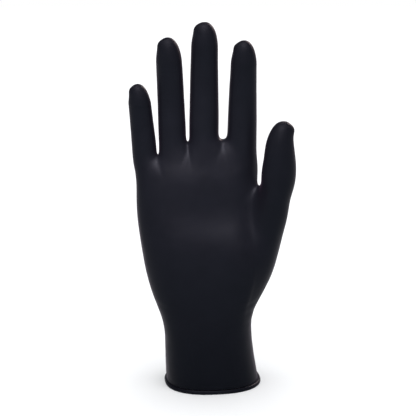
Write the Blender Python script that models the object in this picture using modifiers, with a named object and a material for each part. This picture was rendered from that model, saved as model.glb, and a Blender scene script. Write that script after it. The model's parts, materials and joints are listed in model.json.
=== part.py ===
"""Disposable nitrile glove in its worn shape, standing on its rolled cuff: a thin film around an empty hand.

The film is one surface, made from a coarse cage with Subdivision Surface. It is then divided into named
sections where the film folds in use, and each section is thickened inwards with Solidify.

Frame: +Z runs up the fingers, +X is the thumb side, and the palm faces -Y. The origin is the centre of the
cuff opening, on the plane that the bead rests on.
"""

import math

import bmesh
import bpy
from mathutils import Vector

MM = 0.001  # every dimension below is in millimetres

FILM = 0.15  # film thickness
GAP = 0.3  # clear distance between neighbouring sections

# Rolled bead at the cuff's edge
BEAD_WIDTH = 65.4
BEAD_DEPTH = 55.0
BEAD_ROLL = 1.35  # radius of the roll
BEAD_FLAT = 0.95  # height of the roll's centre over its flat underside
BEAD_STEPS = 48
BEAD_SIDES = 8

CUFF_EDGE = BEAD_FLAT + BEAD_ROLL + GAP
CUFF_SQUARENESS = 2.4  # 2 is an ellipse
CUFF_TURN = 7.0  # degrees that the cuff's oval is turned about the arm, thumb side to the back
CUFF_TURN_END = 60.0  # height where that turn has faded away

# Sections of the arm and palm, from the cuff to the thumb's root:
# height, left edge, right edge, half depth, how hand-shaped the section is (0 oval, 1 palm and thumb)
ARM = (
    (CUFF_EDGE, -31.6, 31.2, 26.0, 0.0),
    (13.0, -32.0, 29.4, 25.4, 0.0),
    (23.0, -32.2, 27.7, 24.6, 0.0),
    (34.0, -32.3, 26.4, 23.4, 0.0),
    (44.0, -33.8, 26.4, 22.2, 0.02),
    (53.0, -37.0, 28.8, 21.0, 0.08),
    (64.0, -41.3, 35.2, 20.4, 0.25),
    (76.0, -44.7, 40.0, 20.0, 0.42),
    (90.0, -47.0, 43.8, 19.0, 0.62),
    (105.0, -49.0, 46.8, 17.6, 0.82),
    (120.0, -50.0, 49.2, 16.2, 0.95),
)
WRIST_FOLD = (34.0, 64.0)  # the film that folds when the hand bends on the cuff

# Thumb side of the hand-shaped sections, at the lowest of them and at the thumb's root
ROOT_HEIGHT = 135.5
ROOT_LEFT = -50.3
ROOT_RIGHT = 51.4
ROOT_DEPTH = 14.8
SPLIT_START = 84.0  # height where the thumb's mound begins to part from the palm
PALM_RIGHT = (18.0, 30.4)
THUMB_HALF_WIDTH = (14.5, 11.2)
THUMB_HALF_DEPTH = (14.0, 10.2)
THUMB_FORWARD = (6.0, 15.5)
THUMB_WEB = (Vector((30.2, -3.0, 136.5)), Vector((31.8, -10.0, 136.5)))
THUMB_SLANT = 0.45  # how far the thumb's root drops for each millimetre towards its outer side

# Palm above the thumb's root: height at the left edge and at the right, left edge, right edge, half depth
PALM = ((141.0, 144.5, -50.9, 30.8, 14.2), (145.2, 152.5, -51.4, 30.2, 12.9))

# Fingers: middle line across X at root and tip, half widths at root and tip, height of the tip, hinges up
# the finger, and heights of the web to the left and to the right
FINGERS = {
    "little": {
        "line": (-43.9, -47.7),
        "half": (8.2, 7.1),
        "tip": 201.2,
        "hinges": (162.5, 175.0, 188.5),
        "webs": (150.0, 155.0),
    },
    "ring": {
        "line": (-25.9, -28.2),
        "half": (9.3, 7.9),
        "tip": 230.6,
        "hinges": (172.0, 191.5, 211.0),
        "webs": (155.0, 164.0),
    },
    "middle": {
        "line": (-5.7, -5.0),
        "half": (9.9, 8.2),
        "tip": 240.0,
        "hinges": (173.0, 193.5, 216.5),
        "webs": (164.0, 165.6),
    },
    "index": {
        "line": (18.9, 19.8),
        "half": (9.9, 7.9),
        "tip": 228.7,
        "hinges": (173.0, 190.5, 209.5),
        "webs": (165.6, 158.0),
    },
}
FINGER_NAMES = tuple(FINGERS)
WEB_HALF = {"little": 0.8, "ring": 0.6, "middle": 2.2}  # half width of the web to each finger's right
CURL = 0.13  # forward bend of a finger's tip, as a share of its length
DEPTH_SHARE = 0.9  # a finger's depth over its width
TIP_LENGTH = 11.0  # length of the rounded end of a finger
TIP_RINGS = (36.0, 66.0)  # degrees round that end
ROOT_SCALE = 0.98  # a finger's first ring is drawn in a little, which rounds its root
PALM_SQUARENESS = 2.6
SHRINK = 1 / 0.9024  # eight cage corners round a tube draw in by this much once subdivided

# Thumb: height, middle line across X, half width, half depth, forward of the palm
THUMB = (
    (143.0, 42.2, 11.2, 9.9, 16.0),
    (153.5, 42.9, 10.4, 9.5, 16.4),
    (162.0, 42.4, 9.4, 8.8, 17.0),
    (168.5, 42.6, 8.4, 7.8, 17.6),
)
THUMB_SECTIONS = ("palm_shell", "thumb_base", "thumb_tip", "thumb_tip")
THUMB_SLANTS = (0.32, 0.11, 0.04, 0.0)
THUMB_TIP = 179.2
THUMB_TIP_LENGTH = 11.7
THUMB_TIP_LINE = 44.6

# Fleshy pads and the hollow of the palm, pushed out of the front: across X, height, spread, push
PADS = (
    (26.0, 88.0, 21.0, 6.0),
    (-28.0, 84.0, 22.0, 3.0),
    (-2.0, 112.0, 17.0, -3.2),
)

COLOUR = (0.012, 0.0125, 0.0155, 1.0)
ROUGHNESS = 0.5

DIAGONAL = math.sqrt(0.5)  # sine and cosine of 45 degrees
ACROSS = Vector((1, 0, 0))
BACKWARDS = Vector((0, 1, 0))


def smooth_step(value):
    value = min(max(value, 0.0), 1.0)
    return value * value * (3 - 2 * value)


def mix(a, b, share):
    return a + (b - a) * share


def eight_round(centre, across, deep, half_width, half_depth):
    """Eight points round an oval, from its left side over the front to the right side and round the back."""
    points = []
    for corner in range(8):
        angle = math.pi + corner * math.pi / 4
        points.append(centre + across * half_width * math.cos(angle) + deep * half_depth * math.sin(angle))
    return points


def column_positions():
    """Where the twelve columns of the palm lie across X at the fingers' roots: three for each finger."""
    columns = []
    for finger in FINGERS.values():
        for side in (-1, 0, 1):
            columns.append(finger["line"][0] + side * finger["half"][0] * DIAGONAL)
    return columns


def push_of_pads(point):
    """Moves a point on the front of the palm out or in, where a pad or the hollow lies."""
    push = 0.0
    for across, height, spread, depth in PADS:
        distance = math.hypot(point.x - across, point.z - height) / spread
        push += depth * math.exp(-distance * distance)
    return Vector((point.x, point.y - push, point.z))


def squared(share, squareness):
    """How deep an oval is, from 0 to 1, at a share of its half width."""
    return (1 - min(abs(share), 1.0) ** squareness) ** (1 / squareness)


def palm_pairs(left, right, oval_right, half_depth, height):
    """(front, back) for each of the twelve columns, set between left and right on the palm's own oval."""
    middle = (left + oval_right) / 2
    half_width = (oval_right - left) / 2
    columns = column_positions()
    first = FINGERS["little"]["line"][0] - FINGERS["little"]["half"][0]
    last = FINGERS["index"]["line"][0] + FINGERS["index"]["half"][0]
    pairs = []
    for column in columns:
        x = left + (column - first) / (last - first) * (right - left)
        y = half_depth * squared((x - middle) / half_width, PALM_SQUARENESS)
        pairs.append((Vector((x, -y, height)), Vector((x, y, height))))
    return pairs


def turned(x, y, height):
    """A point of the cuff's oval, with the turn that fades away up the arm."""
    turn = math.radians(CUFF_TURN) * (1 - smooth_step(height / CUFF_TURN_END))
    return Vector((x * math.cos(turn) - y * math.sin(turn), x * math.sin(turn) + y * math.cos(turn), height))


def oval_ring(left, right, half_depth, height, count):
    """Points evenly round an oval, from its left side over the front to its right side and round the back."""
    ring = []
    for step in range(count):
        angle = math.pi + 2 * math.pi * step / count
        x = math.copysign(abs(math.cos(angle)) ** (2 / CUFF_SQUARENESS), math.cos(angle))
        y = math.copysign(abs(math.sin(angle)) ** (2 / CUFF_SQUARENESS), math.sin(angle))
        ring.append(turned(mix(left, right, (x + 1) / 2), half_depth * y, height))
    return ring


def hand_ring(height, left, right, half_depth):
    """The same thirty-two points as a hand has them: twelve columns of palm, then the thumb's mound."""
    rise = (height - ARM[0][0]) / (ROOT_HEIGHT - ARM[0][0])
    split = smooth_step((height - SPLIT_START) / (ROOT_HEIGHT - SPLIT_START))
    palm_right = mix(PALM_RIGHT[0], PALM_RIGHT[1], rise)
    oval_right = mix(right, palm_right, split)
    pairs = palm_pairs(left, palm_right, oval_right, half_depth, height)
    half_width = mix(THUMB_HALF_WIDTH[0], THUMB_HALF_WIDTH[1], rise)
    mound_depth = mix(THUMB_HALF_DEPTH[0], THUMB_HALF_DEPTH[1], rise)
    centre = Vector((right - half_width, -mix(THUMB_FORWARD[0], THUMB_FORWARD[1], rise), height))
    thumb = eight_round(centre, ACROSS, BACKWARDS, half_width, mound_depth)
    middle = (left + right) / 2
    for front, back in ((thumb[1], thumb[7]), (thumb[2], thumb[6]), (thumb[3], thumb[5])):
        y = half_depth * squared((front.x - middle) * 2 / (right - left), PALM_SQUARENESS)
        front.y = mix(-y, front.y, split)
        back.y = mix(y, back.y, split)
        pairs.append((front, back))
    ring = [Vector((left, 0, height))] + [front for front, _ in pairs]
    ring += [Vector((right, mix(0.0, thumb[4].y, split), height))] + [back for _, back in pairs][::-1]
    slant = THUMB_SLANT * split
    for point in ring:
        point.z -= slant * max(point.x - palm_right, 0.0)
    return ring


def arm_ring(height, left, right, half_depth, share):
    """Thirty-two points round the arm or palm: left side, fifteen in front, right side, fifteen behind."""
    oval = oval_ring(left, right, half_depth, height, 32)
    hand = hand_ring(height, left, right, half_depth)
    ring = [a.lerp(b, share) for a, b in zip(oval, hand)]
    ring[1:16] = [push_of_pads(point) for point in ring[1:16]]
    return ring


def palm_ring(low, high, left, right, half_depth):
    """Twenty-six points round the palm above the thumb, rising from the left edge to the right."""
    pairs = palm_pairs(left, right, right, half_depth, low)
    ring = [Vector((left, 0, low))] + [front for front, _ in pairs]
    ring += [Vector((right, 0, low))] + [back for _, back in pairs][::-1]
    for point in ring:
        point.z = mix(low, high, (point.x - left) / (right - left))
    ring[1:13] = [push_of_pads(point) for point in ring[1:13]]
    return ring


def finger_frame(finger, height):
    """Middle point of a finger at a height, the direction out of its back, and how far up it that is."""
    root = sum(finger["webs"]) / 2
    length = finger["tip"] - root
    rise = (height - root) / length
    bend = max(rise, 0.0)
    middle = Vector((mix(finger["line"][0], finger["line"][1], rise), -CURL * length * bend * bend, height))
    lean = math.atan(2 * CURL * bend)
    return middle, Vector((0, math.cos(lean), math.sin(lean))), rise


def finger_ring(finger, height, scale=1.0):
    middle, out, rise = finger_frame(finger, height)
    half_width = mix(finger["half"][0], finger["half"][1], rise) * scale * SHRINK
    return eight_round(middle, ACROSS, out, half_width, half_width * DEPTH_SHARE)


def root_ring(finger):
    """A finger's first ring, which follows the webs on its two sides."""
    low, high = finger["webs"]
    ring = []
    for corner, point in enumerate(finger_ring(finger, (low + high) / 2, ROOT_SCALE)):
        point.z = mix(low, high, (1 - math.cos(corner * math.pi / 4)) / 2)
        ring.append(point)
    return ring


class Cage:
    """A coarse quad mesh that is built ring by ring, each face tagged with its section."""

    def __init__(self):
        self.mesh = bmesh.new()
        self.sections = []

    def ring(self, points):
        return [self.mesh.verts.new(point * MM) for point in points]

    def face(self, corners, section):
        if section not in self.sections:
            self.sections.append(section)
        self.mesh.faces.new(corners).material_index = self.sections.index(section)

    def loft(self, lower, upper, section):
        for i in range(len(lower)):
            j = (i + 1) % len(lower)
            self.face((lower[i], lower[j], upper[j], upper[i]), section)

    def cap(self, ring, point, section):
        pole = self.mesh.verts.new(point * MM)
        for i in range(0, len(ring), 2):
            self.face((ring[i], ring[i + 1], ring[(i + 2) % len(ring)], pole), section)

    def web(self, fronts, middles, backs, section):
        """Two quads that close the space between two tubes: each argument is (left tube's, right tube's)."""
        self.face((fronts[0], fronts[1], middles[1], middles[0]), section)
        self.face((middles[0], middles[1], backs[1], backs[0]), section)


def add_arm(cage):
    """Cuff, wrist and lower palm. Gives the ring at the thumb's root."""
    lower = None
    rows = ARM + ((ROOT_HEIGHT, ROOT_LEFT, ROOT_RIGHT, ROOT_DEPTH, 1.0),)
    for row in rows:
        upper = cage.ring(arm_ring(*row))
        if lower:
            if row[0] <= WRIST_FOLD[0]:
                section = "cuff_sleeve"
            elif row[0] <= WRIST_FOLD[1]:
                section = "wrist_fold"
            else:
                section = "palm_shell"
            cage.loft(lower, upper, section)
        lower = upper
    return lower


def add_thumb(cage, root):
    previous = root
    for row, section, slant in zip(THUMB, THUMB_SECTIONS, THUMB_SLANTS):
        height, line, half_width, half_depth, forward = row
        centre = Vector((line, -forward, height))
        points = eight_round(centre, ACROSS, BACKWARDS, half_width * SHRINK, half_depth * SHRINK)
        for point in points:
            point.z -= slant * (point.x - line)
        ring = cage.ring(points)
        cage.loft(previous, ring, section)
        previous = ring
    length = THUMB_TIP_LENGTH * SHRINK
    _, line, half_width, half_depth, forward = THUMB[-1]
    for angle in TIP_RINGS:
        rise = math.sin(math.radians(angle))
        scale = SHRINK * math.cos(math.radians(angle))
        end = THUMB_TIP - THUMB_TIP_LENGTH + length * rise
        centre = Vector((mix(line, THUMB_TIP_LINE, rise), -forward, end))
        ring = cage.ring(eight_round(centre, ACROSS, BACKWARDS, half_width * scale, half_depth * scale))
        cage.loft(previous, ring, "thumb_tip")
        previous = ring
    cage.cap(previous, Vector((THUMB_TIP_LINE, -forward, THUMB_TIP + length - THUMB_TIP_LENGTH)), "thumb_tip")


def add_finger(cage, name, root):
    finger = FINGERS[name]
    hinges = finger["hinges"]
    end = finger["tip"] - TIP_LENGTH
    heights = (
        (hinges[0], "palm_shell"),
        ((hinges[0] + hinges[1]) / 2, name + "_base"),
        (hinges[1], name + "_base"),
        ((hinges[1] + hinges[2]) / 2, name + "_middle"),
        (hinges[2], name + "_middle"),
        ((hinges[2] + end) / 2, name + "_tip"),
        (end, name + "_tip"),
    )
    previous = root
    for height, section in heights:
        ring = cage.ring(finger_ring(finger, height))
        cage.loft(previous, ring, section)
        previous = ring
    length = TIP_LENGTH * SHRINK
    for angle in TIP_RINGS:
        turn = math.radians(angle)
        ring = cage.ring(finger_ring(finger, end + length * math.sin(turn), math.cos(turn)))
        cage.loft(previous, ring, name + "_tip")
        previous = ring
    cage.cap(previous, finger_frame(finger, end + length)[0], name + "_tip")


def build_cage():
    cage = Cage()
    root = add_arm(cage)
    # The thumb takes seven of the root's points and one new one, and the palm takes the rest and another.
    palm_web, thumb_web = cage.ring(THUMB_WEB)
    cage.web((root[12], root[13]), (palm_web, thumb_web), (root[20], root[19]), "palm_shell")
    add_thumb(cage, [thumb_web] + root[13:20])
    previous = root[:13] + [palm_web] + root[20:]
    for row in PALM:
        ring = cage.ring(palm_ring(*row))
        cage.loft(previous, ring, "palm_shell")
        previous = ring
    rings = {name: root_ring(FINGERS[name]) for name in FINGER_NAMES}
    top = [rings["little"][0]]
    for name in FINGER_NAMES:
        top += rings[name][1:4]
    top.append(rings["index"][4])
    for name in FINGER_NAMES[::-1]:
        top += rings[name][5:8]
    top = cage.ring(top)
    cage.loft(previous, top, "palm_shell")
    left_webs = {"little": top[0]}
    right_webs = {"index": top[13]}
    for number, (left, right) in enumerate(zip(FINGER_NAMES, FINGER_NAMES[1:])):
        middle = (rings[left][4] + rings[right][0]) / 2
        half = Vector((WEB_HALF[left], 0, 0))
        middles = cage.ring((middle - half, middle + half))
        right_webs[left], left_webs[right] = middles
        front = 3 * number + 3
        back = 23 - 3 * number
        cage.web((top[front], top[front + 1]), middles, (top[back], top[back - 1]), "palm_shell")
    for number, name in enumerate(FINGER_NAMES):
        front = top[3 * number + 1 : 3 * number + 4]
        back = top[23 - 3 * number : 26 - 3 * number]
        add_finger(cage, name, [left_webs[name]] + front + [right_webs[name]] + back)
    return cage


def film_material():
    material = bpy.data.materials.new("black_nitrile")
    material.use_nodes = True
    shader = material.node_tree.nodes["Principled BSDF"]
    shader.inputs["Base Color"].default_value = COLOUR
    shader.inputs["Roughness"].default_value = ROUGHNESS
    material.diffuse_color = COLOUR
    return material


def smoothed_cage(cage, guides, levels):
    """Adds the cage as a guide object and gives its subdivided surface as a bmesh."""
    mesh = bpy.data.meshes.new("glove_cage")
    cage.mesh.to_mesh(mesh)
    cage.mesh.free()
    guide = bpy.data.objects.new("glove_cage", mesh)
    guides.objects.link(guide)
    guide.hide_render = True
    guide.display_type = "WIRE"
    for _ in cage.sections:
        mesh.materials.append(None)
    subdivision = guide.modifiers.new("rounding", "SUBSURF")
    subdivision.levels = levels
    subdivision.render_levels = levels
    bpy.context.view_layer.update()
    evaluated = guide.evaluated_get(bpy.context.evaluated_depsgraph_get())
    surface = bmesh.new()
    surface.from_mesh(evaluated.to_mesh())
    evaluated.to_mesh_clear()
    return surface


def cut_out(surface, number):
    """One section of the surface, its open edges drawn back by half the gap."""
    piece = surface.copy()
    others = [face for face in piece.faces if face.material_index != number]
    bmesh.ops.delete(piece, geom=others, context="FACES")
    moves = {}
    for vertex in piece.verts:
        if vertex.is_boundary:
            inwards = Vector()
            for edge in vertex.link_edges:
                if not edge.is_boundary:
                    inwards += (edge.other_vert(vertex).co - vertex.co).normalized()
            moves[vertex] = inwards.normalized() * GAP / 2 * MM
    for vertex, move in moves.items():
        vertex.co += move
    for face in piece.faces:
        face.material_index = 0
        face.smooth = True
    return piece


def add_section(name, piece, parts, material):
    mesh = bpy.data.meshes.new(name)
    piece.to_mesh(mesh)
    piece.free()
    mesh.materials.append(material)
    section = bpy.data.objects.new(name, mesh)
    parts.objects.link(section)
    shell = section.modifiers.new("film", "SOLIDIFY")
    shell.thickness = FILM * MM
    shell.offset = -1
    shell.use_even_offset = True


def add_bead(parts, material):
    """The rolled edge: a torus drawn out to the cuff's oval, flat underneath."""
    bpy.ops.mesh.primitive_torus_add(
        major_segments=BEAD_STEPS,
        minor_segments=BEAD_SIDES,
        major_radius=1.0,
        minor_radius=BEAD_ROLL * MM,
    )
    bead = bpy.context.active_object
    bead.name = "cuff_bead"
    half_width = BEAD_WIDTH / 2 - BEAD_ROLL
    half_depth = BEAD_DEPTH / 2 - BEAD_ROLL
    line = oval_ring(-half_width, half_width, half_depth, 0.0, BEAD_STEPS)
    for vertex in bead.data.vertices:
        turn = (math.atan2(vertex.co.y, vertex.co.x) - math.pi) / (2 * math.pi)
        step = round(turn * BEAD_STEPS) % BEAD_STEPS
        along = line[(step + 1) % BEAD_STEPS] - line[step - 1]
        outwards = Vector((along.y, -along.x)).normalized()
        spread = math.hypot(vertex.co.x, vertex.co.y) - 1.0
        vertex.co.x = line[step].x * MM + outwards.x * spread
        vertex.co.y = line[step].y * MM + outwards.y * spread
        vertex.co.z = max(vertex.co.z + BEAD_FLAT * MM, 0.0)
    for collection in list(bead.users_collection):
        collection.objects.unlink(bead)
    parts.objects.link(bead)
    bead.data.materials.append(material)
    bead.data.shade_smooth()


def clear_scene():
    for leftover in list(bpy.data.objects):
        bpy.data.objects.remove(leftover, do_unlink=True)


def new_collection(name):
    collection = bpy.data.collections.new(name)
    bpy.context.scene.collection.children.link(collection)
    return collection


def main():
    clear_scene()
    parts = new_collection("nitrile_glove")
    guides = new_collection("guides")
    material = film_material()
    add_bead(parts, material)
    cage = build_cage()
    surface = smoothed_cage(cage, guides, levels=1)
    for number, name in enumerate(cage.sections):
        add_section(name, cut_out(surface, number), parts, material)
    surface.free()


main()
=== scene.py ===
"""Looks for a disposable nitrile glove: one thin black film in a worn hand shape, with a rolled cuff bead.

The film is made whole, as one fine surface with its folds, and is then divided near the places where it
bends, so that no seam shows between the pieces that ride on different bodies.
"""

import json
import math

import bmesh
import bpy
import numpy as np
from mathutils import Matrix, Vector, noise


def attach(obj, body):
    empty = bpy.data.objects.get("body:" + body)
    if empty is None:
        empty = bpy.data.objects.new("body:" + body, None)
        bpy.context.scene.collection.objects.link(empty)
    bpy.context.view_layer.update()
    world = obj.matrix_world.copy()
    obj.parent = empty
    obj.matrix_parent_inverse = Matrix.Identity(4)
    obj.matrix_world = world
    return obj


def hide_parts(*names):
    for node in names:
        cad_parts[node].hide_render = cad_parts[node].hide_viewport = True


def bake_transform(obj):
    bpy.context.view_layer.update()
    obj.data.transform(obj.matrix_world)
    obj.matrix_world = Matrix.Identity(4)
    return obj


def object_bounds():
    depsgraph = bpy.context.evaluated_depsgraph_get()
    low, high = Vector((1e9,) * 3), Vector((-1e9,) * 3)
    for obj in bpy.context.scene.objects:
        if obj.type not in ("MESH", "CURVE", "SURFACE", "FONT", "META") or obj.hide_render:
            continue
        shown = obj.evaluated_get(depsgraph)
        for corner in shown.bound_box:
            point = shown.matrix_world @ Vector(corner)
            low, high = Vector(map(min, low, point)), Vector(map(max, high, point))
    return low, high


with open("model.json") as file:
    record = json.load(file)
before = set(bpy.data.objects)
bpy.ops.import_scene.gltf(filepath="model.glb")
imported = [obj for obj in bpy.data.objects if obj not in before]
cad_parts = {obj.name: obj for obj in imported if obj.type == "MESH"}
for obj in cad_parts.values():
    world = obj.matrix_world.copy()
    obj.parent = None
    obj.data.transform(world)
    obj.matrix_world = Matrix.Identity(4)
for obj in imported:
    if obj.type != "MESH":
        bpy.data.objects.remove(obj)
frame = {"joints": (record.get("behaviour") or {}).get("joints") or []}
cad_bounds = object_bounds()

MM = 0.001  # the glove's own dimensions are in millimetres

FILM = 0.15  # film thickness

# Rolled bead at the cuff's edge
BEAD_WIDTH = 65.4
BEAD_DEPTH = 55.0
BEAD_ROLL = 1.35  # radius of the roll
BEAD_FLAT = 0.95  # height of the roll's centre over its flat underside
BEAD_STEPS = 360
BEAD_SIDES = 24

CUFF_EDGE = BEAD_FLAT + BEAD_ROLL + 0.3
CUFF_SQUARENESS = 2.4  # 2 is an ellipse
CUFF_TURN = 7.0  # degrees that the cuff's oval is turned about the arm, thumb side to the back
CUFF_TURN_END = 60.0  # height where that turn has faded away

# Sections of the arm and palm, from the cuff to the thumb's root:
# height, left edge, right edge, half depth, how hand-shaped the section is (0 oval, 1 palm and thumb)
ARM = (
    (CUFF_EDGE, -31.6, 31.2, 26.0, 0.0),
    (13.0, -32.0, 29.4, 25.4, 0.0),
    (23.0, -32.2, 27.7, 24.6, 0.0),
    (34.0, -32.3, 26.4, 23.4, 0.0),
    (44.0, -33.8, 26.4, 22.2, 0.02),
    (53.0, -37.0, 28.8, 21.0, 0.08),
    (64.0, -41.3, 35.2, 20.4, 0.25),
    (76.0, -44.7, 40.0, 20.0, 0.42),
    (90.0, -47.0, 43.8, 19.0, 0.62),
    (105.0, -49.0, 46.8, 17.6, 0.82),
    (120.0, -50.0, 49.2, 16.2, 0.95),
)
WRIST_FOLD = (34.0, 64.0)  # the film that folds when the hand bends on the cuff

# Thumb side of the hand-shaped sections, at the lowest of them and at the thumb's root
ROOT_HEIGHT = 135.5
ROOT_LEFT = -50.3
ROOT_RIGHT = 51.4
ROOT_DEPTH = 14.8
SPLIT_START = 84.0  # height where the thumb's mound begins to part from the palm
PALM_RIGHT = (18.0, 30.4)
THUMB_HALF_WIDTH = (14.5, 11.2)
THUMB_HALF_DEPTH = (14.0, 10.2)
THUMB_FORWARD = (6.0, 15.5)
THUMB_WEB = (Vector((30.2, -3.0, 136.5)), Vector((31.8, -10.0, 136.5)))
THUMB_SLANT = 0.45  # how far the thumb's root drops for each millimetre towards its outer side

# Palm above the thumb's root: height at the left edge and at the right, left edge, right edge, half depth
PALM = ((141.0, 144.5, -50.9, 30.8, 14.2), (145.2, 152.5, -51.4, 30.2, 12.9))

# Fingers: middle line across X at root and tip, half widths at root and tip, height of the tip, hinges up
# the finger, and heights of the web to the left and to the right
FINGERS = {
    "little": {
        "line": (-43.9, -47.7),
        "half": (8.2, 7.1),
        "tip": 201.2,
        "hinges": (162.5, 175.0, 188.5),
        "webs": (150.0, 155.0),
    },
    "ring": {
        "line": (-25.9, -28.2),
        "half": (9.3, 7.9),
        "tip": 230.6,
        "hinges": (172.0, 191.5, 211.0),
        "webs": (155.0, 164.0),
    },
    "middle": {
        "line": (-5.7, -5.0),
        "half": (9.9, 8.2),
        "tip": 240.0,
        "hinges": (173.0, 193.5, 216.5),
        "webs": (164.0, 165.6),
    },
    "index": {
        "line": (18.9, 19.8),
        "half": (9.9, 7.9),
        "tip": 228.7,
        "hinges": (173.0, 190.5, 209.5),
        "webs": (165.6, 158.0),
    },
}
FINGER_NAMES = tuple(FINGERS)
WEB_HALF = {"little": 0.35, "ring": 0.3, "middle": 2.0}  # half width of the web to each finger's right
CURL = 0.13  # forward bend of a finger's tip, as a share of its length
DEPTH_SHARE = 0.9  # a finger's depth over its width
TIP_LENGTH = 11.0  # length of the rounded end of a finger
TIP_RINGS = (36.0, 66.0)  # degrees round that end
ROOT_SCALE = 0.98  # a finger's first ring is drawn in a little, which rounds its root
PALM_SQUARENESS = 2.6
SHRINK = 1 / 0.9024  # eight cage corners round a tube draw in by this much once subdivided

# Thumb: height, middle line across X, half width, half depth, forward of the palm
THUMB = (
    (143.0, 42.2, 11.2, 9.9, 16.0),
    (153.5, 42.9, 10.4, 9.5, 16.4),
    (162.0, 42.4, 9.4, 8.8, 17.0),
    (168.5, 42.6, 8.4, 7.8, 17.6),
)
THUMB_SLANTS = (0.32, 0.11, 0.04, 0.0)
THUMB_TIP = 179.2
THUMB_TIP_LENGTH = 11.7
THUMB_TIP_LINE = 44.6

# Fleshy pads and the hollow of the palm, pushed out of the front: across X, height, spread, push
PADS = (
    (26.0, 88.0, 21.0, 6.0),
    (-28.0, 84.0, 22.0, 3.0),
    (-2.0, 112.0, 17.0, -3.2),
)

DIAGONAL = math.sqrt(0.5)  # sine and cosine of 45 degrees
ACROSS = Vector((1, 0, 0))
BACKWARDS = Vector((0, 1, 0))


def smooth_step(value):
    value = min(max(value, 0.0), 1.0)
    return value * value * (3 - 2 * value)


def mix(a, b, share):
    return a + (b - a) * share


def eight_round(centre, across, deep, half_width, half_depth):
    """Eight points round an oval, from its left side over the front to the right side and on round."""
    points = []
    for corner in range(8):
        angle = math.pi + corner * math.pi / 4
        points.append(centre + across * half_width * math.cos(angle) + deep * half_depth * math.sin(angle))
    return points


def column_positions():
    """Where the twelve columns of the palm lie across X at the fingers' roots: three for each finger."""
    columns = []
    for finger in FINGERS.values():
        for side in (-1, 0, 1):
            columns.append(finger["line"][0] + side * finger["half"][0] * DIAGONAL)
    return columns


def push_of_pads(point):
    """Moves a point on the front of the palm out or in, where a pad or the hollow lies."""
    push = 0.0
    for across, height, spread, depth in PADS:
        distance = math.hypot(point.x - across, point.z - height) / spread
        push += depth * math.exp(-distance * distance)
    return Vector((point.x, point.y - push, point.z))


def squared(share, squareness):
    """How deep an oval is, from 0 to 1, at a share of its half width."""
    return (1 - min(abs(share), 1.0) ** squareness) ** (1 / squareness)


def palm_pairs(left, right, oval_right, half_depth, height):
    """(front, back) for each of the twelve columns, set between left and right on the palm's own oval."""
    middle = (left + oval_right) / 2
    half_width = (oval_right - left) / 2
    columns = column_positions()
    first = FINGERS["little"]["line"][0] - FINGERS["little"]["half"][0]
    last = FINGERS["index"]["line"][0] + FINGERS["index"]["half"][0]
    pairs = []
    for column in columns:
        x = left + (column - first) / (last - first) * (right - left)
        y = half_depth * squared((x - middle) / half_width, PALM_SQUARENESS)
        pairs.append((Vector((x, -y, height)), Vector((x, y, height))))
    return pairs


def turned(x, y, height):
    """A point of the cuff's oval, with the turn that fades away up the arm."""
    turn = math.radians(CUFF_TURN) * (1 - smooth_step(height / CUFF_TURN_END))
    cosine, sine = math.cos(turn), math.sin(turn)
    return Vector((x * cosine - y * sine, x * sine + y * cosine, height))


def oval_ring(left, right, half_depth, height, count):
    """Points round an oval, from its left side over the front to its right side and round the back."""
    ring = []
    for step in range(count):
        angle = math.pi + 2 * math.pi * step / count
        x = math.copysign(abs(math.cos(angle)) ** (2 / CUFF_SQUARENESS), math.cos(angle))
        y = math.copysign(abs(math.sin(angle)) ** (2 / CUFF_SQUARENESS), math.sin(angle))
        ring.append(turned(mix(left, right, (x + 1) / 2), half_depth * y, height))
    return ring


def hand_ring(height, left, right, half_depth):
    """The same thirty-two points as a hand has them: twelve columns of palm, then the thumb's mound."""
    rise = (height - ARM[0][0]) / (ROOT_HEIGHT - ARM[0][0])
    split = smooth_step((height - SPLIT_START) / (ROOT_HEIGHT - SPLIT_START))
    palm_right = mix(PALM_RIGHT[0], PALM_RIGHT[1], rise)
    oval_right = mix(right, palm_right, split)
    pairs = palm_pairs(left, palm_right, oval_right, half_depth, height)
    half_width = mix(THUMB_HALF_WIDTH[0], THUMB_HALF_WIDTH[1], rise)
    mound_depth = mix(THUMB_HALF_DEPTH[0], THUMB_HALF_DEPTH[1], rise)
    centre = Vector((right - half_width, -mix(THUMB_FORWARD[0], THUMB_FORWARD[1], rise), height))
    thumb = eight_round(centre, ACROSS, BACKWARDS, half_width, mound_depth)
    middle = (left + right) / 2
    for front, back in ((thumb[1], thumb[7]), (thumb[2], thumb[6]), (thumb[3], thumb[5])):
        y = half_depth * squared((front.x - middle) * 2 / (right - left), PALM_SQUARENESS)
        front.y = mix(-y, front.y, split)
        back.y = mix(y, back.y, split)
        pairs.append((front, back))
    ring = [Vector((left, 0, height))] + [front for front, _ in pairs]
    ring += [Vector((right, mix(0.0, thumb[4].y, split), height))] + [back for _, back in pairs][::-1]
    slant = THUMB_SLANT * split
    for point in ring:
        point.z -= slant * max(point.x - palm_right, 0.0)
    return ring


def arm_ring(height, left, right, half_depth, share):
    """Thirty-two points round the arm or palm: left side, fifteen in front, right side, fifteen behind."""
    oval = oval_ring(left, right, half_depth, height, 32)
    hand = hand_ring(height, left, right, half_depth)
    ring = [a.lerp(b, share) for a, b in zip(oval, hand)]
    ring[1:16] = [push_of_pads(point) for point in ring[1:16]]
    return ring


def palm_ring(low, high, left, right, half_depth):
    """Twenty-six points round the palm above the thumb, rising from the left edge to the right."""
    pairs = palm_pairs(left, right, right, half_depth, low)
    ring = [Vector((left, 0, low))] + [front for front, _ in pairs]
    ring += [Vector((right, 0, low))] + [back for _, back in pairs][::-1]
    for point in ring:
        point.z = mix(low, high, (point.x - left) / (right - left))
    ring[1:13] = [push_of_pads(point) for point in ring[1:13]]
    return ring


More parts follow.
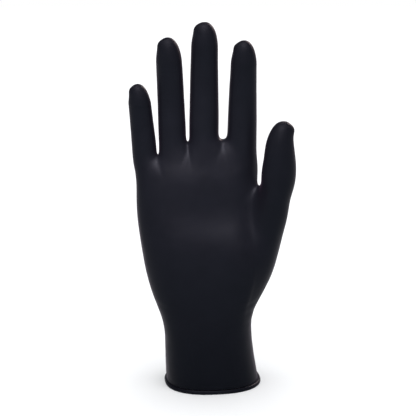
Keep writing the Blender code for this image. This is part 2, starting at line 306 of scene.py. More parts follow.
def finger_frame(finger, height):
    """Middle point of a finger at a height, the direction out of its back, and how far up it that is."""
    root = sum(finger["webs"]) / 2
    length = finger["tip"] - root
    rise = (height - root) / length
    bend = max(rise, 0.0)
    middle = Vector((mix(finger["line"][0], finger["line"][1], rise), -CURL * length * bend * bend, height))
    lean = math.atan(2 * CURL * bend)
    return middle, Vector((0, math.cos(lean), math.sin(lean))), rise


def finger_ring(finger, height, scale=1.0):
    middle, out, rise = finger_frame(finger, height)
    half_width = mix(finger["half"][0], finger["half"][1], rise) * scale * SHRINK
    return eight_round(middle, ACROSS, out, half_width, half_width * DEPTH_SHARE)


def root_ring(finger):
    """A finger's first ring, which follows the webs on its two sides."""
    low, high = finger["webs"]
    ring = []
    for corner, point in enumerate(finger_ring(finger, (low + high) / 2, ROOT_SCALE)):
        point.z = mix(low, high, (1 - math.cos(corner * math.pi / 4)) / 2)
        ring.append(point)
    return ring


class Cage:
    """A coarse quad mesh that is built ring by ring, each face tagged with its section."""

    def __init__(self):
        self.mesh = bmesh.new()
        self.sections = []

    def ring(self, points):
        return [self.mesh.verts.new(point * MM) for point in points]

    def face(self, corners, section):
        if section not in self.sections:
            self.sections.append(section)
        self.mesh.faces.new(corners).material_index = self.sections.index(section)

    def loft(self, lower, upper, section):
        for i in range(len(lower)):
            j = (i + 1) % len(lower)
            self.face((lower[i], lower[j], upper[j], upper[i]), section)

    def cap(self, ring, point, section):
        pole = self.mesh.verts.new(point * MM)
        for i in range(0, len(ring), 2):
            self.face((ring[i], ring[i + 1], ring[(i + 2) % len(ring)], pole), section)

    def web(self, fronts, middles, backs, section):
        """Two quads that close the space between two tubes: each argument is (left one's, right one's)."""
        self.face((fronts[0], fronts[1], middles[1], middles[0]), section)
        self.face((middles[0], middles[1], backs[1], backs[0]), section)


def add_arm(cage):
    """Cuff, wrist and lower palm. Gives the ring at the thumb's root."""
    lower = None
    rows = ARM + ((ROOT_HEIGHT, ROOT_LEFT, ROOT_RIGHT, ROOT_DEPTH, 1.0),)
    for row in rows:
        upper = cage.ring(arm_ring(*row))
        if lower:
            if row[0] <= WRIST_FOLD[0]:
                section = "cuff"
            elif row[0] <= WRIST_FOLD[1]:
                section = "wrist"
            else:
                section = "hand"
            cage.loft(lower, upper, section)
        lower = upper
    return lower


def add_thumb(cage, root):
    previous = root
    for row, slant in zip(THUMB, THUMB_SLANTS):
        height, line, half_width, half_depth, forward = row
        centre = Vector((line, -forward, height))
        points = eight_round(centre, ACROSS, BACKWARDS, half_width * SHRINK, half_depth * SHRINK)
        for point in points:
            point.z -= slant * (point.x - line)
        ring = cage.ring(points)
        cage.loft(previous, ring, "thumb")
        previous = ring
    length = THUMB_TIP_LENGTH * SHRINK
    _, line, half_width, half_depth, forward = THUMB[-1]
    for angle in TIP_RINGS:
        rise = math.sin(math.radians(angle))
        scale = SHRINK * math.cos(math.radians(angle))
        end = THUMB_TIP - THUMB_TIP_LENGTH + length * rise
        centre = Vector((mix(line, THUMB_TIP_LINE, rise), -forward, end))
        ring = cage.ring(eight_round(centre, ACROSS, BACKWARDS, half_width * scale, half_depth * scale))
        cage.loft(previous, ring, "thumb")
        previous = ring
    cage.cap(previous, Vector((THUMB_TIP_LINE, -forward, THUMB_TIP + length - THUMB_TIP_LENGTH)), "thumb")


def add_finger(cage, name, root):
    finger = FINGERS[name]
    hinges = finger["hinges"]
    end = finger["tip"] - TIP_LENGTH
    heights = [hinges[0]]
    for low, high in zip(hinges, hinges[1:] + (end,)):
        heights += [(low + high) / 2, high]
    previous = root
    for height in heights:
        ring = cage.ring(finger_ring(finger, height))
        cage.loft(previous, ring, name)
        previous = ring
    length = TIP_LENGTH * SHRINK
    for angle in TIP_RINGS:
        turn = math.radians(angle)
        ring = cage.ring(finger_ring(finger, end + length * math.sin(turn), math.cos(turn)))
        cage.loft(previous, ring, name)
        previous = ring
    cage.cap(previous, finger_frame(finger, end + length)[0], name)


def build_cage():
    cage = Cage()
    root = add_arm(cage)
    # The thumb takes seven of the root's points and one new one, and the palm takes the rest and another.
    palm_web, thumb_web = cage.ring(THUMB_WEB)
    cage.web((root[12], root[13]), (palm_web, thumb_web), (root[20], root[19]), "hand")
    add_thumb(cage, [thumb_web] + root[13:20])
    previous = root[:13] + [palm_web] + root[20:]
    for row in PALM:
        ring = cage.ring(palm_ring(*row))
        cage.loft(previous, ring, "hand")
        previous = ring
    rings = {name: root_ring(FINGERS[name]) for name in FINGER_NAMES}
    top = [rings["little"][0]]
    for name in FINGER_NAMES:
        top += rings[name][1:4]
    top.append(rings["index"][4])
    for name in FINGER_NAMES[::-1]:
        top += rings[name][5:8]
    top = cage.ring(top)
    cage.loft(previous, top, "hand")
    left_webs = {"little": top[0]}
    right_webs = {"index": top[13]}
    for number, (left, right) in enumerate(zip(FINGER_NAMES, FINGER_NAMES[1:])):
        middle = (rings[left][4] + rings[right][0]) / 2
        half = Vector((WEB_HALF[left], 0, 0))
        middles = cage.ring((middle - half, middle + half))
        right_webs[left], left_webs[right] = middles
        front = 3 * number + 3
        back = 23 - 3 * number
        cage.web((top[front], top[front + 1]), middles, (top[back], top[back - 1]), "hand")
    for number, name in enumerate(FINGER_NAMES):
        front = top[3 * number + 1 : 3 * number + 4]
        back = top[23 - 3 * number : 26 - 3 * number]
        add_finger(cage, name, [left_webs[name]] + front + [right_webs[name]] + back)
    return cage


# ---------------------------------------------------------------------------------------------------------
# The fine surface

LEVELS = 3

# How far the film bends to each side of a hinge, along the finger
FINGER_BEND = {"little": 5.6, "ring": 7.0, "middle": 7.0, "index": 6.6}
THUMB_BEND = {"base": (7.5, 4.4), "tip": (4.0, 7.0)}
HOLD = 1.2  # film beyond a finger's or the thumb's bend that only follows its own body
FINGER_PARTS = ("base", "middle", "tip")

FACING = 1.6  # how soon shapes on the front or back reach their full depth, round from the side
FRONT_START = 0.1  # and a little later on the front

# Places on the front where the film is drawn smooth: across X, height, spread across and up
SMOOTH_PLACES = (
    (-38.0, 147.0, 11.0, 11.0),
    (-15.0, 152.0, 9.0, 9.0),
    (7.0, 154.0, 9.0, 9.0),
    (29.0, 116.0, 13.0, 26.0),
)
SMOOTH_REACH = 1.6  # where smoothing ends, in spreads from the place's middle
SMOOTHING_ROUNDS = 60
SMOOTHING_SHARE = 0.5  # how far a point moves towards its neighbours' middle in one round

# Broad swells of the palm's front: across X, height, spread across and up, push
PALM_SWELLS = (
    (-4.0, 101.0, 27.0, 15.0, 2.4),
    (-6.0, 147.0, 30.0, 13.0, -1.5),
    (-38.0, 143.0, 8.0, 8.0, -0.7),
    (30.0, 112.0, 10.0, 20.0, -3.0),
)

# Folds in the palm's film: start and end across X and up Z, half width, depth. Each is a groove along
# a low swell three times as wide.
PALM_FOLDS = (
    ((-34.6, 150.5), (-31.0, 138.0), 2.0, 0.25),
    ((-15.8, 160.5), (-13.2, 141.0), 1.8, 0.5),
    ((-16.6, 160.0), (-21.5, 146.0), 1.9, 0.3),
    ((6.4, 162.0), (10.0, 148.0), 2.0, 0.35),
    ((5.6, 162.0), (1.0, 149.0), 1.8, 0.3),
    ((31.0, 136.0), (17.0, 127.0), 2.6, 0.3),
)

GROOVE_SHARE = 1.2
SWELL_SHARE = 0.2
SWELL_WIDTH = 3
PALM_START = 10.0  # the palm's and sides' shapes fade in over this height above the wrist

# The back of the hand: knuckles as across X, height, radius, push, and tendons that run down from them
KNUCKLES = (
    (-39.0, 141.0, 6.5, 0.7),
    (-21.0, 149.0, 7.0, 0.8),
    (-3.5, 151.5, 7.5, 0.9),
    (16.5, 148.0, 7.0, 0.9),
)
TENDONS_MEET = (-3.0, 78.0)
TENDON_WIDTH = 2.6
TENDON_PUSH = 0.35
HOLLOW_RISE = 3.0  # top of the hollow between two knuckles, above them
HOLLOW_LENGTH = 22.0
HOLLOW_WIDTH = 3.0
HOLLOW_SHARE = 0.6  # depth of that hollow, as a share of its knuckle's push

# Side of the hand (-1 little finger, 1 thumb), height, spread up, push
SIDE_SWELLS = (
    (-1, 120.0, 24.0, 0.8),
    (1, 88.0, 18.0, 0.9),
    (1, 129.0, 9.0, -0.9),
)

# Creases where the wrist's film is slack, in the same form as the palm's folds
WRIST_CREASES = (
    ((28.5, 58.5), (13.0, 55.0), 1.3, 0.3),
    ((27.0, 52.0), (15.0, 50.0), 1.2, 0.25),
    ((-36.5, 57.0), (-24.0, 54.5), 1.3, 0.2),
    ((27.0, 44.0), (18.0, 45.0), 1.3, 0.15),
)
KNUCKLE_CREASES = (-3.4, 0.0, 3.4)  # up the finger from each hinge
KNUCKLE_DEPTHS = (0.05, 0.1, 0.05)
KNUCKLE_CREASE_WIDTH = 1.2
KNUCKLE_FACING = 1.4  # how soon the creases reach their full depth, round from the side
KNUCKLE_START = 0.3  # and how much later than the side itself they start

# Corners of slack film on the rounded tips: centre, radius, push
TIP_CORNERS = (
    ((-53.6, -6.3, 198.4), 3.0, 1.0),
    ((-34.8, -9.2, 227.6), 3.2, 1.0),
    ((-11.2, -9.8, 237.6), 3.4, 1.0),
    ((14.4, -8.7, 225.4), 2.6, 0.9),
    ((51.6, -17.6, 174.6), 3.6, 1.4),
    ((44.0, -19.0, 178.6), 3.0, -0.6),
)

# Pads with the grip texture: how far above a finger's last hinge, and at what height on the thumb, they
# start, and over what length they fade in
GRIP_START = 1.0
THUMB_GRIP_HEIGHT = 158.0
GRIP_FADE = 5.0
GRIP_FACING = 0.75  # film that faces the back by more than this has none

# Unevenness of the film: size of the features, push, and seed
SLOW_WAVES = (24.0, 0.22, 1)
QUICK_WAVES = (8.0, 0.05, 2)
FINE_WAVES = (3.2, 0.02, 3)
WAVES_STEP = (7.3, 3.1, 5.7)  # from one set of waves to the next, in waves
CUFF_WAVES = 0.07  # added to the quick waves' push at the cuff
CUFF_WAVES_END = (20.0, 60.0)  # heights between which that fades away


class Surface:
    """The subdivided film: points in metres, quads, and the section that each quad belongs to."""

    def __init__(self, cage):
        mesh = bpy.data.meshes.new("glove_cage")
        cage.mesh.to_mesh(mesh)
        cage.mesh.free()
        guide = bpy.data.objects.new("glove_cage", mesh)
        bpy.context.scene.collection.objects.link(guide)
        for _ in cage.sections:
            mesh.materials.append(None)
        subdivision = guide.modifiers.new("rounding", "SUBSURF")
        subdivision.levels = LEVELS
        subdivision.render_levels = LEVELS
        bpy.context.view_layer.update()
        fine = guide.evaluated_get(bpy.context.evaluated_depsgraph_get()).to_mesh()
        points = np.empty(len(fine.vertices) * 3)
        fine.vertices.foreach_get("co", points)
        self.points = points.reshape(-1, 3)
        corners = np.empty(len(fine.loops), np.int32)
        fine.loops.foreach_get("vertex_index", corners)
        self.quads = corners.reshape(-1, 4)
        tags = np.empty(len(fine.polygons), np.int32)
        fine.polygons.foreach_get("material_index", tags)
        self.section = np.array(cage.sections)[tags]
        bpy.data.objects.remove(guide)
        self.marks = {}
        self.find_normals()

    def find_normals(self):
        a, b, c, d = (self.points[self.quads[:, corner]] for corner in range(4))
        across = np.cross(c - a, d - b)
        normals = np.zeros_like(self.points)
        for corner in range(4):
            np.add.at(normals, self.quads[:, corner], across)
        self.normals = normals / np.linalg.norm(normals, axis=1, keepdims=True)

    def touched_by(self, section):
        """True for each point that a quad of this section touches."""
        found = np.zeros(len(self.points), bool)
        found[self.quads[self.section == section]] = True
        return found

    def relax(self, weight, rounds):
        """Draws each point towards the middle of its neighbours, where its weight is high."""
        sides = np.concatenate([self.quads[:, [i, (i + 1) % 4]] for i in range(4)])
        sides = np.unique(np.sort(sides, axis=1), axis=0)
        ends = sides.T.ravel()
        others = sides[:, ::-1].T.ravel()
        count = np.bincount(ends)
        for _ in range(rounds):
            totals = [np.bincount(ends, self.points[others, axis]) for axis in range(3)]
            middle = np.stack(totals, axis=1) / count[:, None]
            self.points += (middle - self.points) * weight[:, None]
        self.find_normals()

    def push(self, distance):
        """Moves every point out by its distance in millimetres."""
        self.points += self.normals * (distance * MM)[:, None]
        self.find_normals()


def fade(value):
    value = np.clip(value, 0, 1)
    return value * value * (3 - 2 * value)


def waves(points, size, seed):
    """Smooth noise from -1 to 1 at each point, with features of this size in millimetres."""
    shift = Vector([seed * step for step in WAVES_STEP])
    scale = 1 / (size * MM)
    return np.array([noise.noise(Vector(point) * scale + shift) for point in points.tolist()])


def line_groove(flat, start, end, half_width):
    """From 0 to 1: how deep each flat point lies in a groove that fades out at the line's end."""
    start, end = np.array(start), np.array(end)
    run = end - start
    along = np.clip(((flat - start) @ run) / (run @ run), 0, 1)
    distance = np.linalg.norm(flat - start - along[:, None] * run, axis=1)
    return np.exp(-((distance / half_width) ** 2)) * (1 - fade(along))


def smooth_front(surface):
    """Evens out the slopes below the webs and the hollow between the palm and the thumb's mound."""
    front = fade(-surface.normals[:, 1] * FACING - FRONT_START)
    near = np.zeros(len(front))
    for across, height, spread_across, spread_up in SMOOTH_PLACES:
        x = (surface.points[:, 0] / MM - across) / spread_across
        z = (surface.points[:, 2] / MM - height) / spread_up
        near = np.maximum(near, fade(SMOOTH_REACH - np.hypot(x, z)))
    surface.relax(SMOOTHING_SHARE * near * front, SMOOTHING_ROUNDS)


def fold_palm(surface):
    """Swells and hollows of the palm, folds that run down from the webs, and swells of the hand's sides."""
    flat = surface.points[:, [0, 2]] / MM
    front = fade(-surface.normals[:, 1] * FACING)
    push = np.zeros(len(flat))
    for across, height, spread_across, spread_up, depth in PALM_SWELLS:
        distance = np.hypot((flat[:, 0] - across) / spread_across, (flat[:, 1] - height) / spread_up)
        push += depth * np.exp(-(distance**2))
    for start, end, half_width, depth in PALM_FOLDS:
        groove = line_groove(flat, start, end, half_width)
        swell = line_groove(flat, start, end, half_width * SWELL_WIDTH)
        push += depth * (SWELL_SHARE * swell - GROOVE_SHARE * groove)
    above_wrist = fade((flat[:, 1] - WRIST_FOLD[1]) / PALM_START)
    surface.push(push * front * above_wrist)
    push = np.zeros(len(flat))
    for side, height, spread, depth in SIDE_SWELLS:
        on_side = fade(side * surface.normals[:, 0])
        push += depth * np.exp(-(((flat[:, 1] - height) / spread) ** 2)) * on_side
    surface.push(push * above_wrist)


def shape_back(surface):
    """Knuckles, the hollows between them, and the tendons that fan out to them."""
    flat = surface.points[:, [0, 2]] / MM
    back = fade(surface.normals[:, 1] * FACING)
    push = np.zeros(len(flat))
    for across, height, radius, depth in KNUCKLES:
        distance = np.hypot(flat[:, 0] - across, flat[:, 1] - height) / radius
        push += depth * np.exp(-(distance**2))
        push += TENDON_PUSH * line_groove(flat, (across, height - radius), TENDONS_MEET, TENDON_WIDTH)
    for (left, left_height, _, depth), (right, right_height, _, _) in zip(KNUCKLES, KNUCKLES[1:]):
        top = ((left + right) / 2, (left_height + right_height) / 2 + HOLLOW_RISE)
        foot = (top[0], top[1] - HOLLOW_LENGTH)
        push -= HOLLOW_SHARE * depth * line_groove(flat, top, foot, HOLLOW_WIDTH)
    surface.push(push * back)


def crease_wrist(surface):
    """Slack creases at the wrist, on the front and, turned about the vertical, on the back."""
    turned = np.sign(-surface.normals[:, 1])
    flat = surface.points[:, [0, 2]] / MM * np.stack([turned, np.ones(len(turned))], axis=1)
    push = np.zeros(len(flat))
    for start, end, half_width, depth in WRIST_CREASES:
        push -= depth * line_groove(flat, start, end, half_width)
    surface.push(push)


def crease_knuckles(surface):
    """Shallow creases across the front and back of each finger joint."""
    push = np.zeros(len(surface.points))
    across = fade(np.abs(surface.normals[:, 1]) * KNUCKLE_FACING - KNUCKLE_START)
    for name, finger in FINGERS.items():
        height = finger_height(surface.points, finger)
        own = surface.touched_by(name) * across
        for part in FINGER_PARTS[1:]:
            rise = height - hinge_height(name + "_" + part, finger)
            for place, depth in zip(KNUCKLE_CREASES, KNUCKLE_DEPTHS):
                push -= depth * np.exp(-(((rise - place) / KNUCKLE_CREASE_WIDTH) ** 2)) * own
    surface.push(push)


def square_tips(surface):
    """Pushes out the slack corners that the film has over each rounded tip."""
    for centre, radius, push in TIP_CORNERS:
        distance = np.linalg.norm(surface.points / MM - np.array(centre), axis=1) / radius
        surface.push(push * np.exp(-(distance**2)))


def mark_tips(surface):
    """Marks the pads of the fingers and thumb, which have the grip texture, from 0 to 1."""
    mark = np.zeros(len(surface.points))
    front = fade(GRIP_FACING - surface.normals[:, 1])
    for name, finger in FINGERS.items():
        height = finger_height(surface.points, finger)
        reach = fade((height - finger["hinges"][2] - GRIP_START) / GRIP_FADE)
        mark = np.maximum(mark, reach * surface.touched_by(name))
    height = surface.points[:, 2] / MM
    reach = fade((height - THUMB_GRIP_HEIGHT) / GRIP_FADE)
    mark = np.maximum(mark, reach * surface.touched_by("thumb"))
    surface.marks["grip"] = mark * front


def loosen(surface):
    """The film's own unevenness: three sizes of wave all over, the quick ones stronger at the cuff."""
    slow = waves(surface.points, SLOW_WAVES[0], SLOW_WAVES[2])
    quick = waves(surface.points, QUICK_WAVES[0], QUICK_WAVES[2])
    fine = waves(surface.points, FINE_WAVES[0], FINE_WAVES[2])
    height = surface.points[:, 2] / MM
    low, high = CUFF_WAVES_END
    cuff = 1 - fade((height - low) / (high - low))
    quick_push = QUICK_WAVES[1] + CUFF_WAVES * cuff
    surface.push(SLOW_WAVES[1] * slow + quick_push * quick + FINE_WAVES[1] * fine)


def finger_height(points, finger):
    """How far up a finger each point is, measured square to the finger's curved middle line."""
    root = sum(finger["webs"]) / 2
    length = finger["tip"] - root
    height = points[:, 2] / MM
    for _ in range(4):
        bend = np.maximum((height - root) / length, 0)
        height = points[:, 2] / MM - 2 * CURL * bend * (points[:, 1] / MM + CURL * length * bend * bend)
    return height


def hinge_of(name):
    return next(joint for joint in frame["joints"] if joint["name"] == name + "_bend")


def hinge_point(name):
    return np.array(hinge_of(name)["pos_m"])


def hinge_height(name, finger):
    return finger_height(hinge_point(name)[None, :], finger)[0]


def bend_direction(name):
    """Square to the hinge's axis, up the finger or thumb."""
    if name.startswith("thumb"):
        axis = hinge_of(name)["axis"]
        return Vector((-axis[2] / axis[0], 0, 1)).normalized()
    finger = FINGERS[name.split("_")[0]]
    out = finger_frame(finger, hinge_point(name)[2] / MM)[1]
    return ACROSS.cross(out)


def divide(surface):
    """Names the piece that each quad goes to: the fingers' and the thumb's roots stay with the hand."""
    centres = surface.points[surface.quads].mean(axis=1)
    pieces = surface.section.astype("<U16")
    for name, finger in FINGERS.items():
        own = surface.section == name
        height = finger_height(centres, finger)
        hinges = [hinge_height(name + "_" + part, finger) for part in FINGER_PARTS]
        starts = [hinges[0] - FINGER_BEND[name] - HOLD] + [(a + b) / 2 for a, b in zip(hinges, hinges[1:])]
        pieces[own] = "hand"
        for part, start in zip(FINGER_PARTS, starts):
            pieces[own & (height >= start)] = name + "_" + part
    own = surface.section == "thumb"
    pieces[own] = "hand"
    for part, hold in (("base", HOLD), ("tip", 0.0)):
        name = "thumb_" + part
        along = (centres - hinge_point(name)) @ np.array(bend_direction(name)) / MM
        pieces[own & (along >= -THUMB_BEND[part][0] - hold)] = name
    return pieces


# ---------------------------------------------------------------------------------------------------------
# Pieces of film


def film_piece(name, surface, pieces, material):
    """The quads of one piece as a closed shell: outer skin, inner skin and the cut edges between them."""
    quads = surface.quads[pieces == name]
    used, index = np.unique(quads, return_inverse=True)
    quads = index.reshape(-1, 4)
    outer = surface.points[used]
    normals = surface.normals[used]
    inner = outer - normals * FILM * MM
    sides = np.concatenate([quads[:, [i, (i + 1) % 4]] for i in range(4)])
    codes = sides[:, 0].astype(np.int64) * len(used) + sides[:, 1]
    reverse = sides[:, 1].astype(np.int64) * len(used) + sides[:, 0]
    a, b = sides[~np.isin(codes, reverse)].T
    rims = np.stack([b, a, a + len(used), b + len(used)], axis=1)
    faces = np.concatenate([quads, quads[:, ::-1] + len(used), rims])
    mesh = bpy.data.meshes.new(name + "_film")
    mesh.from_pydata(np.concatenate([outer, inner]).tolist(), [], faces.tolist())
    mesh.materials.append(material)
    mesh.shade_smooth()
    mesh.normals_split_custom_set_from_vertices(np.concatenate([normals, -normals]).tolist())
    for layer, values in surface.marks.items():
        attribute = mesh.attributes.new(layer, "FLOAT", "POINT")
        attribute.data.foreach_set("value", np.tile(values[used], 2).astype(np.float32))
    film = bpy.data.objects.new(name + "_film", mesh)
    bpy.context.scene.collection.objects.link(film)
    return film


def place_piece(film, name):
    """Attaches a piece to the body that it rides on, or bakes in the place of a piece that lies over a
    bend, and hides the part that it stands for.
    """
    if name == "cuff":
        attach(film, "cuff")
        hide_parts("cuff_sleeve")
    elif name == "hand":
        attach(film, "hand")
        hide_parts("palm_shell")
    elif name == "wrist":
        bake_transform(film)
        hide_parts("wrist_fold")
    else:
        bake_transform(film)
        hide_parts(name)


# ---------------------------------------------------------------------------------------------------------
# Bead


# Round the roll's section, from its outer side upwards, in radians and shares of the roll's radius: the
# groove under the lip, and the lip's raised edge
BEAD_GROOVE = (0.62, 0.2, 0.16)  # where, half width, depth
BEAD_LIP = (1.05, 0.25, 0.07)  # where, half width, height
BEAD_SWELLS = ((5, 0.05), (17, 0.03))  # how quickly the radius varies round the cuff, and by how much


def bead_radius(angle, around):
    """The roll's radius at an angle round its section and a direction round the cuff."""
    swell = 1
    for pace, share in BEAD_SWELLS:
        swell += share * noise.noise(around * pace)
    (groove, groove_width, depth), (lip, lip_width, rise) = BEAD_GROOVE, BEAD_LIP
    dip = depth * math.exp(-(((angle - groove) / groove_width) ** 2))
    edge = rise * math.exp(-(((angle - lip) / lip_width) ** 2))
    return BEAD_ROLL * (swell - (dip - edge))


def build_bead(material):
    """The cuff's edge, rolled up on itself: a lip lies over the roll on its outer side."""
    bead = bmesh.new()
    half_width = BEAD_WIDTH / 2 - BEAD_ROLL
    half_depth = BEAD_DEPTH / 2 - BEAD_ROLL
    line = oval_ring(-half_width, half_width, half_depth, 0.0, BEAD_STEPS)
    rings = []
    for step in range(BEAD_STEPS):
        along = line[(step + 1) % BEAD_STEPS] - line[step - 1]
        outwards = Vector((along.y, -along.x, 0)).normalized()
        turn = 2 * math.pi * step / BEAD_STEPS
        around = Vector((math.cos(turn), math.sin(turn), 0))
        ring = []
        for side in range(BEAD_SIDES):
            angle = 2 * math.pi * side / BEAD_SIDES
            roll = bead_radius(angle, around)
            height = BEAD_FLAT + roll * math.sin(angle)
            point = line[step] + outwards * roll * math.cos(angle)
            ring.append(bead.verts.new(Vector((point.x, point.y, max(height, 0.0))) * MM))
        rings.append(ring)
    for step in range(BEAD_STEPS):
        ring, after = rings[step], rings[(step + 1) % BEAD_STEPS]
        for side in range(BEAD_SIDES):
            other = (side + 1) % BEAD_SIDES
            bead.faces.new((ring[side], after[side], after[other], ring[other]))
    bmesh.ops.recalc_face_normals(bead, faces=bead.faces)
    mesh = bpy.data.meshes.new("bead_roll")
    bead.to_mesh(mesh)
    bead.free()
    mesh.shade_smooth()
    mesh.materials.append(material)
    roll = bpy.data.objects.new("bead_roll", mesh)
    bpy.context.scene.collection.objects.link(roll)
    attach(roll, "cuff")
    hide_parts("cuff_bead")
    return roll


# ---------------------------------------------------------------------------------------------------------
# Materials


# Both kinds of film: colour, roughness, and depth of the dipped grain in metres
NITRILE = {"base": (0.0024, 0.0029, 0.0046, 1.0), "roughness": 0.46, "grain": 0.00002}
ROLLED_NITRILE = {"base": (0.0028, 0.0034, 0.0054, 1.0), "roughness": 0.38, "grain": 0.000015}
CLOUD_TINT = 1.5  # the lightest clouds, as a multiple of the base colour
ROUGHNESS_SPREAD = (-0.06, 0.08)
GRIP_ROUGHNESS = 0.1  # added on the fingertips' pads
GRIP_STRENGTH = 0.5

# The patterns: sizes and depths in metres, unless said otherwise, and strengths from 0 to 1
CLOUD_SIZE = 0.012
PATCH_SIZE = 0.006
FINE_GRAIN_SIZE = 0.00035
FINE_GRAIN_STRENGTH = 0.35
COARSE_GRAIN_SIZE = 0.0022
COARSE_GRAIN_STRENGTH = 0.3
COARSE_GRAIN_DEPTH = 3  # as a multiple of the fine grain's
DIMPLE_SIZE = 0.0009
DIMPLE_DEPTH = 0.00008


def new_material(name):
    material = bpy.data.materials.new(name)
    material.use_nodes = True
    return material, material.node_tree.nodes, material.node_tree.links


def add_noise(nodes, links, where, size, detail):
    """A noise texture with features of about this size in metres."""
    pattern = nodes.new("ShaderNodeTexNoise")
    pattern.inputs["Scale"].default_value = 1 / size
    pattern.inputs["Detail"].default_value = detail
    links.new(where.outputs["Object"], pattern.inputs["Vector"])
    return pattern


def scaled(nodes, links, value, low, high):
    """The value, from 0 to 1, spread between low and high."""
    spread = nodes.new("ShaderNodeMapRange")
    spread.inputs["To Min"].default_value = low
    spread.inputs["To Max"].default_value = high
    links.new(value, spread.inputs["Value"])
    return spread.outputs["Result"]


def add_bump(nodes, links, height, distance, strength, below=None):
    """A bump on top of the one below, if there is one. Its strength is a number or a socket."""
    bump = nodes.new("ShaderNodeBump")
    bump.inputs["Distance"].default_value = distance
    if isinstance(strength, float):
        bump.inputs["Strength"].default_value = strength
    else:
        links.new(strength, bump.inputs["Strength"])
    links.new(height, bump.inputs["Height"])
    if below:
        links.new(below.outputs["Normal"], bump.inputs["Normal"])
    return bump


def nitrile(name, base, roughness, grain):
    """Satin black rubber: faint blue in the black, cloudy gloss, and a fine dipped grain."""
    material, nodes, links = new_material(name)
    shader = nodes["Principled BSDF"]
    shader.inputs["Specular IOR Level"].default_value = 0.064
    shader.inputs["Specular Tint"].default_value = (0.66, 0.8, 1.0, 1.0)
    shader.inputs["Sheen Weight"].default_value = 0.03
    shader.inputs["Sheen Roughness"].default_value = 0.35
    shader.inputs["Sheen Tint"].default_value = (0.8, 0.55, 1.0, 1.0)
    where = nodes.new("ShaderNodeTexCoord")

    clouds = add_noise(nodes, links, where, CLOUD_SIZE, 4)
    tint = nodes.new("ShaderNodeMixRGB")
    tint.inputs["Color1"].default_value = base
    tint.inputs["Color2"].default_value = tuple(CLOUD_TINT * channel for channel in base[:3]) + (1.0,)
    links.new(clouds.outputs["Fac"], tint.inputs["Fac"])
    links.new(tint.outputs["Color"], shader.inputs["Base Color"])

    patches = add_noise(nodes, links, where, PATCH_SIZE, 5)
    low, high = (roughness + spread for spread in ROUGHNESS_SPREAD)
    cloudy = scaled(nodes, links, patches.outputs["Fac"], low, high)
    grip = nodes.new("ShaderNodeAttribute")
    grip.attribute_name = "grip"
    duller = scaled(nodes, links, grip.outputs["Fac"], 0.0, GRIP_ROUGHNESS)
    total = nodes.new("ShaderNodeMath")
    links.new(cloudy, total.inputs[0])
    links.new(duller, total.inputs[1])
    links.new(total.outputs["Value"], shader.inputs["Roughness"])

    fine = add_noise(nodes, links, where, FINE_GRAIN_SIZE, 2)
    coarse = add_noise(nodes, links, where, COARSE_GRAIN_SIZE, 3)
    dimples = nodes.new("ShaderNodeTexVoronoi")
    dimples.inputs["Scale"].default_value = 1 / DIMPLE_SIZE
    links.new(where.outputs["Object"], dimples.inputs["Vector"])
    gripping = scaled(nodes, links, grip.outputs["Fac"], 0.0, GRIP_STRENGTH)
    first = add_bump(nodes, links, fine.outputs["Fac"], grain, FINE_GRAIN_STRENGTH)
    depth = COARSE_GRAIN_DEPTH * grain
    second = add_bump(nodes, links, coarse.outputs["Fac"], depth, COARSE_GRAIN_STRENGTH, first)
    texture = add_bump(nodes, links, dimples.outputs["Distance"], DIMPLE_DEPTH, gripping, second)
    links.new(texture.outputs["Normal"], shader.inputs["Normal"])
    return material


# ---------------------------------------------------------------------------------------------------------
# Stage, light and camera


# The lights on the glove, in metres and watts: the key above it, a fill behind it, and two soft-edged pools
# on the palm and the fingers, their cones in degrees
GLOVE_LIGHT = (1.0, 0.8, 0.76)
KEY = {"size": (0.8, 0.5), "power": 17, "place": (-0.04, -0.42, 1.05), "target": (0, 0, 0.14)}
BACK_FILL = {"size": (0.5, 0.5), "power": 16, "place": (0.55, 0.8, 0.75), "target": (0, 0, 0.12)}
PALM_POOL = {"power": 190, "cone": 6.6, "place": (-0.1, -0.62, 0.78), "target": (-0.011, -0.015, 0.136)}
FINGER_POOL = {"power": 32, "cone": 11, "place": (-0.05, -0.62, 0.78), "target": (-0.004, -0.005, 0.205)}
SPOT_RADIUS = 0.06
OVERHEAD_STRENGTH = 3.4
OVERHEAD_SPREAD = 70  # degrees
GLOW = (0.86, 0.92, 1.0, 1)
GLOW_STRENGTH = 0.24

# The camera's lens in millimetres, its elevation in degrees, its distance and height as shares of the
# glove's height, and its place across in metres
CAMERA_LENS = 85
CAMERA_ELEVATION = 12
CAMERA_DISTANCE = 2.634
CAMERA_HEIGHT = 0.498
CAMERA_ACROSS = -0.003


def add_floor():
    bpy.ops.mesh.primitive_plane_add(size=60)
    floor = bpy.context.object
    floor.name = "floor"
    material, nodes, _ = new_material("pale_floor")
    shader = nodes["Principled BSDF"]
    shader.inputs["Base Color"].default_value = (0.93, 0.93, 0.93, 1)
    shader.inputs["Roughness"].default_value = 0.9
    shader.inputs["Specular IOR Level"].default_value = 0.0
    floor.data.materials.append(material)
    return floor


def place_light(data, place, target):
    light = bpy.data.objects.new(data.name, data)
    light.location = place
    light.rotation_euler = (Vector(target) - Vector(place)).to_track_quat("-Z", "Y").to_euler()
    bpy.context.scene.collection.objects.link(light)
    return light


def add_light(name, size, power, place, target):
    data = bpy.data.lights.new(name, "AREA")
    data.shape = "RECTANGLE"
    data.size, data.size_y = size
    data.energy = power
    return place_light(data, place, target)


def add_spot(name, power, cone, place, target):
    """A soft-edged pool of light, its cone in degrees."""
    data = bpy.data.lights.new(name, "SPOT")
    data.energy = power
    data.spot_size = math.radians(cone)
    data.spot_blend = 1.0
    data.shadow_soft_size = SPOT_RADIUS
    return place_light(data, place, target)


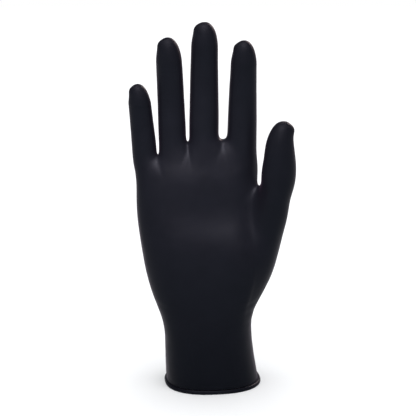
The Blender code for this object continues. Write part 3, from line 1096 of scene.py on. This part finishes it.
def add_overhead():
    """A wide even light from straight above, which keeps the whole floor white."""
    data = bpy.data.lights.new("overhead", "SUN")
    data.energy = OVERHEAD_STRENGTH
    data.angle = math.radians(OVERHEAD_SPREAD)
    light = bpy.data.objects.new("overhead", data)
    light.location = (0, 0, 2)
    bpy.context.scene.collection.objects.link(light)
    return light


def add_world():
    """A dim, faintly blue glow all round as light, and white where the world shows behind the floor."""
    world = bpy.data.worlds.new("studio")
    bpy.context.scene.world = world
    world.use_nodes = True
    nodes, links = world.node_tree.nodes, world.node_tree.links
    seen = nodes["Background"]
    seen.inputs["Color"].default_value = (1, 1, 1, 1)
    seen.inputs["Strength"].default_value = 1.0
    glow = nodes.new("ShaderNodeBackground")
    glow.inputs["Color"].default_value = GLOW
    glow.inputs["Strength"].default_value = GLOW_STRENGTH
    path = nodes.new("ShaderNodeLightPath")
    choice = nodes.new("ShaderNodeMixShader")
    links.new(path.outputs["Is Camera Ray"], choice.inputs[0])
    links.new(glow.outputs[0], choice.inputs[1])
    links.new(seen.outputs[0], choice.inputs[2])
    links.new(choice.outputs[0], nodes["World Output"].inputs["Surface"])


def add_camera(low, high):
    """A little above level, square to the palm, with the glove filling nine tenths of the frame."""
    tall = high[2] - low[2]
    elevation = math.radians(CAMERA_ELEVATION)
    distance = CAMERA_DISTANCE * tall
    data = bpy.data.cameras.new("camera")
    data.lens = CAMERA_LENS
    camera = bpy.data.objects.new("camera", data)
    camera.location = (CAMERA_ACROSS, -distance, CAMERA_HEIGHT * tall + distance * math.tan(elevation))
    camera.rotation_euler = (math.pi / 2 - elevation, 0, 0)
    bpy.context.scene.collection.objects.link(camera)
    bpy.context.scene.camera = camera


def new_collection(name):
    collection = bpy.data.collections.new(name)
    bpy.context.scene.collection.children.link(collection)
    return collection


def main():
    bpy.context.scene.view_settings.view_transform = "Standard"
    add_world()
    stage = new_collection("stage")
    stage.objects.link(add_floor())
    add_overhead().light_linking.receiver_collection = stage
    lit = new_collection("glove")
    for light in (
        add_light("key", **KEY),
        add_light("back_fill", **BACK_FILL),
        add_spot("palm_pool", **PALM_POOL),
        add_spot("finger_pool", **FINGER_POOL),
    ):
        light.data.color = GLOVE_LIGHT
        light.light_linking.receiver_collection = lit
    add_camera(*cad_bounds)

    surface = Surface(build_cage())
    smooth_front(surface)
    fold_palm(surface)
    shape_back(surface)
    crease_wrist(surface)
    crease_knuckles(surface)
    square_tips(surface)
    loosen(surface)
    mark_tips(surface)
    pieces = divide(surface)
    film = nitrile("black_nitrile", **NITRILE)
    for name in sorted(set(pieces)):
        piece = film_piece(name, surface, pieces, film)
        lit.objects.link(piece)
        place_piece(piece, name)
    lit.objects.link(build_bead(nitrile("rolled_nitrile", **ROLLED_NITRILE)))


main()
